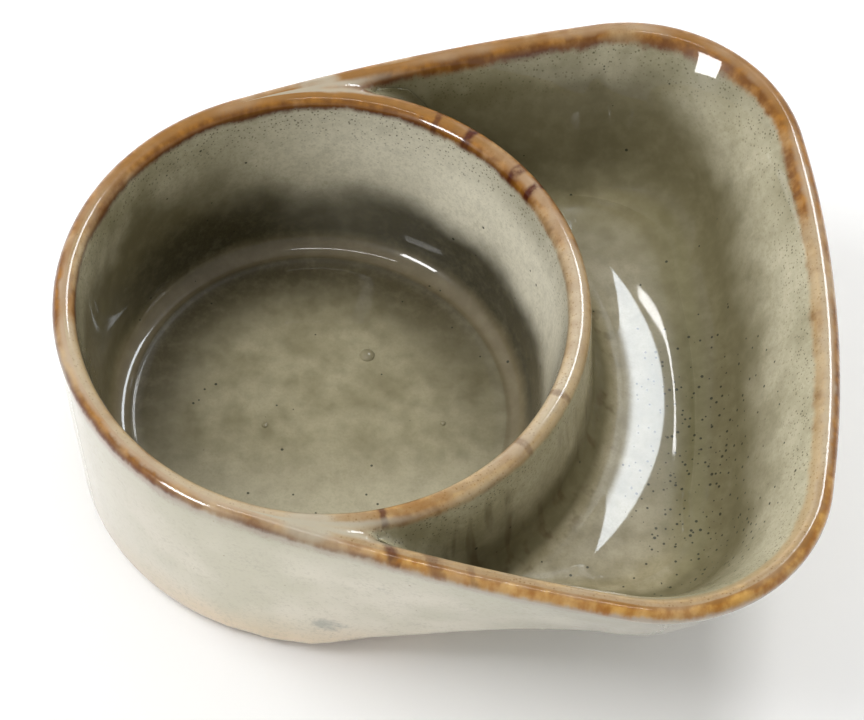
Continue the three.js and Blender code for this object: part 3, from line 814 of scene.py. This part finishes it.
def rim_drips(at):
    """Dark runs across the rims: the bowl's by its own angles, then the tray's."""
    on_bowl = ramp(at.radius, RIM_RADIUS + 7, RIM_RADIUS + 5)
    wavy = at.angle + at.run * 0.03
    drips = on_bowl * 0.0
    for rim, listed in ((on_bowl, BOWL_DRIPS), (1 - on_bowl, TRAY_DRIPS)):
        for degrees, wide, strength in listed:
            drips = most(drips, near_angle(wavy, at.radius, degrees, wide) * rim * strength)
    return drips * ramp(at.run, -0.3, 0.05)


def pale_rims_and_sheen(at):
    """Where the rims are paler, part the glaze's own tan and part painted sheen: the front, the far
    left, the bowl's right and the tray's rear.
    """
    rim_pale_sheen = (at.east.math("ABSOLUTE") * 0.6 - at.y) * 0.003 - 0.04
    rim_pale_sheen = rim_pale_sheen + ramp(at.x, -50, -95) * 0.1
    rim_pale_sheen = rim_pale_sheen + ramp(at.x, 8, 32) * ramp(at.radius, RIM_RADIUS + 7, RIM_RADIUS + 4) * 0.16
    return rim_pale_sheen + ramp(at.x, -16, 12) * ramp(at.x, 74, 52) * ramp(at.y, 40, 70) * at.tray * 0.16


def honey_colour(at, share, thin, front):
    """The amber below the crest: rich along the front, paler where thin and where the rims take painted
    sheen, rusty at its lower edge.
    """
    honey = blend(ramp(at.run + at.mottle * 0.5, -0.2, 0.25), tint(108, 65, 15), tint(150, 101, 34))
    rich = blend(ramp(at.run + at.mottle, -0.25, 0.3), tint(158, 102, 30), tint(204, 160, 84))
    honey = blend(front * 0.8, honey, rich)
    honey = blend(thin * (1 - front) * 0.75, honey, tint(182, 154, 110))
    rusty = ramp(cloud(at.place, 20) * 1.6 - at.x * 0.004 + at.y * 0.003, -0.3, 0.35)
    return blend(ramp(share, 0.5, 1.0) * rusty, honey, tint(86, 46, 28))


def over_rims(at, colour):
    """The rims laid over a colour: tan on the crest, honey amber, an edge that frays, and the drips."""
    width = at.inside + 4.0 + at.drift * 3
    share = (at.rim + at.mottle * 2.4 + at.run * 1.8 + at.fibre * 0.5) / width
    # Paler rims, part the glaze's own tan and part painted sheen.
    rim_pale_sheen = pale_rims_and_sheen(at)
    # Thin amber, paler; on the insides it also takes the rims' painted sheen.
    thin = ramp(cloud(at.place, 22) + at.run * 0.3 + rim_pale_sheen * at.inside, -0.12, 0.3)
    front = ramp(at.x, -34, -12) * ramp(at.y, -40, -60) * (1 - at.inside * ramp(at.rim, 0.5, 3.0))
    # Paler crest: part the glaze's own tan, part painted sheen.
    pale_crest_sheen = ramp(at.drift + at.wash * 0.3 + rim_pale_sheen - front * 0.5, -0.15, 0.25)
    crest = blend(pale_crest_sheen, tint(132, 94, 46), tint(165, 145, 120))
    band = blend(ramp(share, 0.52, 0.12) * 0.85, honey_colour(at, share, thin, front), crest)
    fringe = blend(at.inside, tint(134, 100, 88), tint(94, 88, 56))
    fray = (0.55 - thin * 0.3) * (1 - ramp(at.y, 30, 58) * at.well * 0.6)
    frayed = ramp(share + at.grain + at.fine, at.inside * 1.7 + 2.4, 1.2)
    colour = blend(frayed * fray, colour, fringe)
    colour = blend(ramp(share + at.grain * 0.3, 1.3, 0.8) * (1 - thin * 0.35), colour, band)
    return blend(rim_drips(at) * ramp(share, 1.3, 0.8), colour, tint(70, 27, 10))


def over_webs(at, colour):
    """The webs laid over a colour: bare grey between the two rims, which breaks the outer rim."""
    beside = ramp(at.radius, RIM_RADIUS - 0.5, RIM_RADIUS + 1)
    gap = near_place(at.place, FRONT_WEB, WEB_REACH) + near_place(at.place, REAR_WEB, WEB_REACH) * beside
    broken = ramp(gap + at.mottle + at.run * 0.6, 0.1, 1.3)
    bare = most(ramp(at.web + at.mottle * 0.4, 0.1, 0.5), broken)
    return blend(bare * ramp(at.rim + at.mottle * 3, 5, 1.8) * 0.8, colour, tint(162, 156, 138))


def coat_share(at):
    """The shine: less in the coves at the tray's foot, on the soup floor and where the glaze crawled."""
    open_floor = ramp(at.radius, RIM_RADIUS + 15, RIM_RADIUS + 18) * ramp(at.y.math("ABSOLUTE"), 57, 50)
    coves = (1 - open_floor) * ramp(at.z, 50, 42) * at.tray * at.inside
    low = ramp(at.z, SOUP_LEVEL + 0.6, SOUP_LEVEL + 0.2)
    soup_floor = ramp(at.radius, SOUP_EDGE - 1.7, SOUP_EDGE - 3.7) * low * at.inside
    dull = most(most(coves, near_place(at.place, CRAWLED, 9.0)), soup_floor * 0.75)
    return 1 - dull * 0.95


def glaze_material():
    """Reactive glaze: olive inside, bone outside, amber and rust where it runs thin over the rims."""
    material, tree, shader = start_material("reactive_glaze")
    at = GlazeGround(tree)
    colour = blend(at.inside, bone_colour(at), olive_colour(at))
    colour = over_webs(at, over_rims(at, colour))
    roughness = at.grain * 0.2 + 0.34
    height = cloud(at.place, 20, 0.0) + cloud(at.place, 7, 0.0) * 0.1
    finish_shader(tree, shader, colour, roughness, height, GLAZE_WAVE)
    tree.links.new(coat_share(at).link, shader.inputs["Coat Weight"])
    shader.inputs["Specular IOR Level"].default_value = GLAZE_SPECULAR
    shader.inputs["Coat Roughness"].default_value = COAT_ROUGHNESS
    shader.inputs["Coat IOR"].default_value = COAT_IOR
    return material


def clay_material():
    """Bare fired clay: warm buff, gritty, with turning lines and dark grog."""
    material, tree, shader = start_material("bare_clay")
    place = millimetres(tree)
    x, y, z = split(place)
    radius = distance_from_axis(x - BOWL_X, y)
    mottle = cloud(place, 12, 3.0)
    grit = cloud(place, 0.8, 2.0)
    line = (radius * CLAY_LINES + z * CLAY_LINES + mottle * 3).math("SINE")
    colour = blend(ramp(mottle, -0.2, 0.25), tint(196, 170, 138), tint(172, 144, 112))
    colour = blend(ramp(grit, -0.1, 0.3) * 0.5, colour, tint(150, 122, 94))
    colour = blend(specks(place, 1.7, 0.22, 0.1, 0.3) * 0.7, colour, tint(98, 74, 54))
    finish_shader(tree, shader, colour, mottle * 0.2 + 0.85, grit + line * 0.25, CLAY_GRIT)
    return material


def place_camera():
    """The photograph's camera: its angles, distance and lens."""
    level = math.cos(CAMERA_ELEVATION)
    back = Vector((math.sin(CAMERA_AZIMUTH) * level, -math.cos(CAMERA_AZIMUTH) * level,
                   math.sin(CAMERA_ELEVATION)))
    right = Vector((0, 0, 1)).cross(back).normalized()
    up = back.cross(right)
    across = right * math.cos(CAMERA_ROLL) + up * math.sin(CAMERA_ROLL)
    upright = up * math.cos(CAMERA_ROLL) - right * math.sin(CAMERA_ROLL)
    data = bpy.data.cameras.new("camera")
    data.sensor_width = SENSOR_WIDTH
    data.lens = SENSOR_WIDTH * FOCAL_PIXELS / PHOTO_WIDTH
    data.clip_end = CLIP_END
    camera = bpy.data.objects.new("camera", data)
    matrix = Matrix((across, upright, back)).transposed().to_4x4()
    matrix.translation = Vector(CAMERA_TARGET) * MM + back * (CAMERA_DISTANCE * MM)
    camera.matrix_world = matrix
    bpy.context.scene.collection.objects.link(camera)
    bpy.context.scene.camera = camera


def towards(turn, rise):
    """A direction turned from the rear towards the right and risen, in degrees."""
    turn, rise = math.radians(turn), math.radians(rise)
    level = math.cos(rise)
    return Vector((math.sin(turn) * level, math.cos(turn) * level, math.sin(rise)))


def add_softbox(name, middle, low, high, distance, width, power, lights=True, mirrored=True, tone=PLAIN):
    """A soft lamp that spans two directions seen from a place on the object and faces it."""
    middle = Vector(middle) * MM
    out = (low + high).normalized()
    along = (high - low) - out * (high - low).dot(out)
    length = along.length * distance
    along.normalize()
    data = bpy.data.lights.new(name, "AREA")
    data.shape = "RECTANGLE"
    data.size = width
    data.size_y = length
    data.energy = power
    data.color = tone
    light = bpy.data.objects.new(name, data)
    matrix = Matrix((along.cross(out), along, out)).transposed().to_4x4()
    matrix.translation = middle + out * distance
    light.matrix_world = matrix
    light.visible_camera = False
    light.visible_diffuse = lights
    light.visible_glossy = mirrored
    bpy.context.scene.collection.objects.link(light)


def add_lamps():
    """Two lamps that only light, three that only show as highlights, and a strip that does both."""
    add_softbox("left_panel", WHOLE, towards(-85, 38), towards(-85, 62),
                distance=1.2, width=0.8, power=10.5, mirrored=False)
    window = towards(23.9, 46.1), towards(37, 61.3)
    add_softbox("rear_right_softbox", TRAY_MIDDLE, *window,
                distance=1.0, width=0.23, power=4.4, mirrored=False)
    add_softbox("rear_right_window", TRAY_MIDDLE, *window,
                distance=0.96, width=0.22, power=4.9, lights=False, tone=DAYLIGHT)
    add_softbox("rear_right_strip", TRAY_MIDDLE, towards(14.3, 51), towards(14.7, 58),
                distance=1.0, width=0.015, power=0.18)
    add_softbox("front_left_card", TRAY_CORNER, towards(-132, 14), towards(-132, 30),
                distance=1.2, width=0.3, power=13, lights=False)
    add_softbox("crest_strip", WHOLE, towards(-122, 65), towards(156, 76),
                distance=1.2, width=0.03, power=2.0, lights=False)


def add_floor():
    """A plain pale floor with the object's shadow."""
    corners = [(-FLOOR_HALF, -FLOOR_HALF, 0), (FLOOR_HALF, -FLOOR_HALF, 0),
               (FLOOR_HALF, FLOOR_HALF, 0), (-FLOOR_HALF, FLOOR_HALF, 0)]
    mesh = bpy.data.meshes.new("floor")
    mesh.from_pydata(corners, [], [(0, 1, 2, 3)])
    floor = bpy.data.objects.new("floor", mesh)
    bpy.context.scene.collection.objects.link(floor)
    material, _, shader = start_material("floor")
    shader.inputs["Base Color"].default_value = FLOOR_WHITE
    shader.inputs["Roughness"].default_value = 1.0
    shader.inputs["Specular IOR Level"].default_value = 0.0
    mesh.materials.append(material)


def set_world():
    """White light from all round, brightest along the horizon."""
    world = bpy.data.worlds.new("studio")
    world.use_nodes = True
    tree = world.node_tree
    sky = tree.nodes["Background"]
    sky.inputs["Color"].default_value = (1, 1, 1, 1)
    height = split(add_node(tree, "ShaderNodeTexCoord", {}, {}, "Generated"))[2]
    strength = ramp(height, SKY_FADE, 0.0) * (SKY_RIM - SKY_TOP) + SKY_TOP
    tree.links.new(strength.link, sky.inputs["Strength"])
    bpy.context.scene.world = world


glaze = glaze_material()
clay = clay_material()
add_piece("glazed_skin", skin_mesh("glazed_skin"), glaze, GLAZED)
add_piece("turned_foot_ring", foot_ring_mesh("turned_foot_ring", clay), clay,
          ["soup_bowl_foot_ring"])
add_piece("glaze_beads", bead_mesh("glaze_beads", glaze), glaze, [])
add_floor()
place_camera()
add_lamps()
set_world()
bpy.context.scene.view_settings.view_transform = "Standard"
